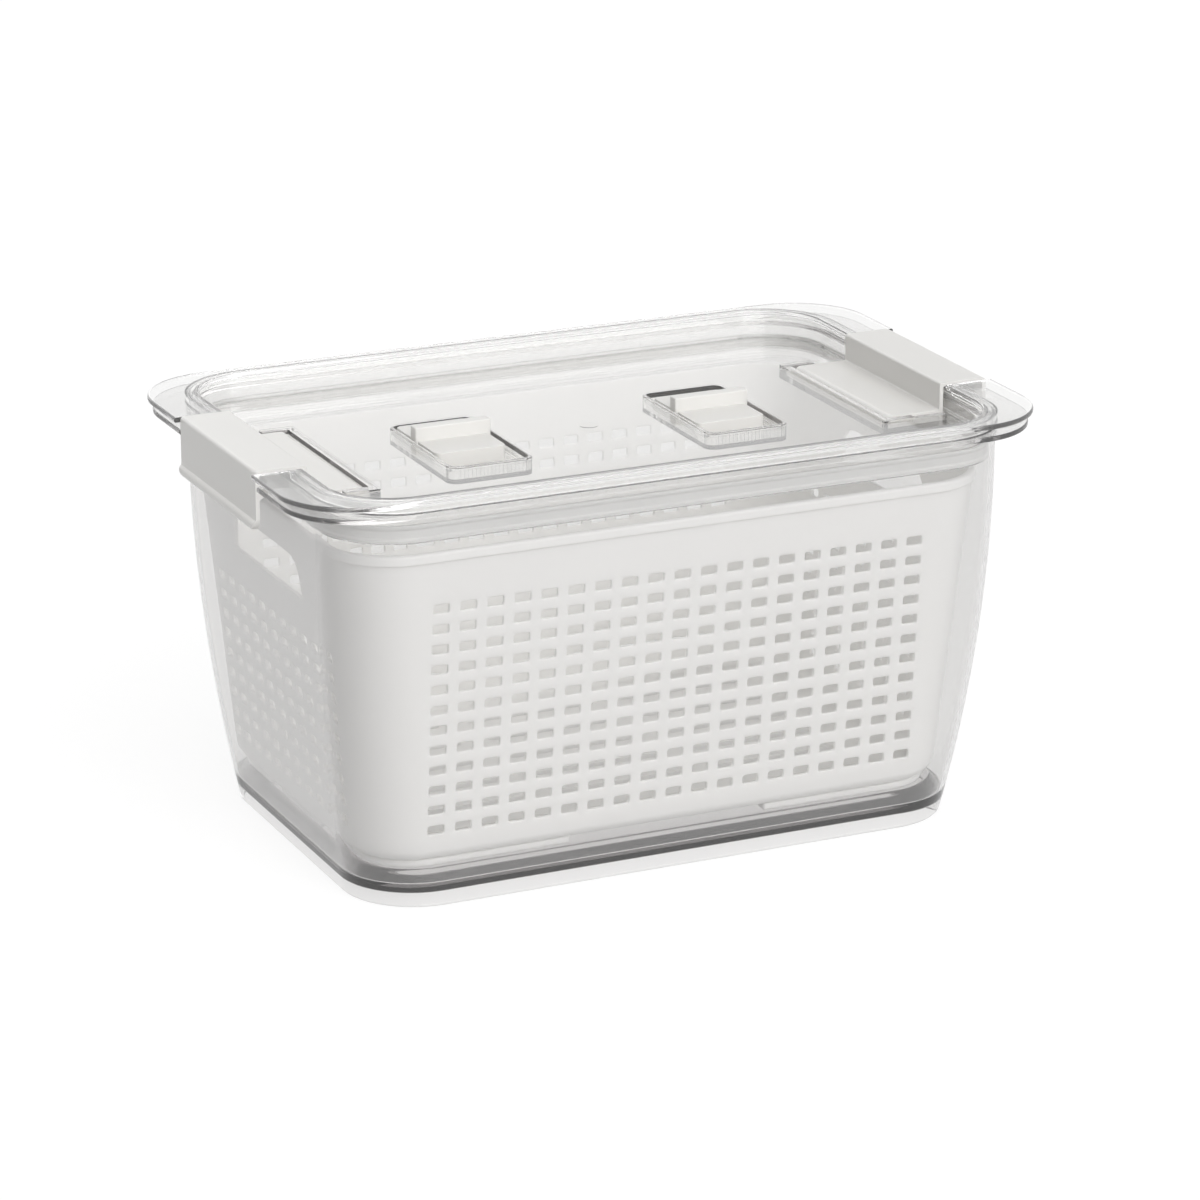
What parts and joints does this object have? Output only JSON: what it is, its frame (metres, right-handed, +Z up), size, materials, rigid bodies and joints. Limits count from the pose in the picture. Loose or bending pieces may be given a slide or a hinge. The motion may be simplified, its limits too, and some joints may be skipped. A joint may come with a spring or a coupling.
{
  "type": "fridge storage box",
  "caption": "Clear lidded food box with flip latches, sliding vents, soft seal and a lift-out perforated drain basket.",
  "frame": {"origin": "centre of the footprint, on the surface that the box stands on", "axes": "+X along the long side towards the right latch, +Y towards the back, +Z up"},
  "size_m": [0.31, 0.1948, 0.1656],
  "materials": {
    "clear_plastic": "clear, high gloss",
    "seal_silicone": "translucent, satin",
    "white_plastic": "white, soft gloss",
    "basket_plastic": "off-white, satin"
  },
  "bodies": {
    "box": {"box_body": "clear_plastic"},
    "lid": {"lid": "clear_plastic", "lid_seal": "seal_silicone"},
    "latch_left": {"latch_left": "white_plastic"},
    "latch_right": {"latch_right": "white_plastic"},
    "vent_left": {"vent_slider_left": "white_plastic"},
    "vent_right": {"vent_slider_right": "white_plastic"},
    "basket": {"basket": "basket_plastic"}
  },
  "joints": [
    {"name": "lid_lift", "type": "slide", "parent": "box", "child": "lid", "axis": [0, 0, 1], "range_m": [0, 0.36]},
    {"name": "basket_lift", "type": "slide", "parent": "box", "child": "basket", "axis": [0, 0, 1], "range_m": [0, 0.18]},
    {"name": "latch_left_flip", "type": "hinge", "parent": "lid", "child": "latch_left", "pos_m": [-0.1123, 0, 0.1522], "axis": [0, 1, 0], "range_deg": [0, 100]},
    {"name": "latch_right_flip", "type": "hinge", "parent": "lid", "child": "latch_right", "pos_m": [0.1123, 0, 0.1522], "axis": [0, -1, 0], "range_deg": [0, 100]},
    {"name": "vent_left_slide", "type": "slide", "parent": "lid", "child": "vent_left", "axis": [0, -1, 0], "range_m": [0, 0.018]},
    {"name": "vent_right_slide", "type": "slide", "parent": "lid", "child": "vent_right", "axis": [0, -1, 0], "range_m": [-0.0048, 0.0132]}
  ],
  "couplings": [
    {"joint": "basket_lift", "follows": "lid_lift", "ratio": 0.5}
  ]
}
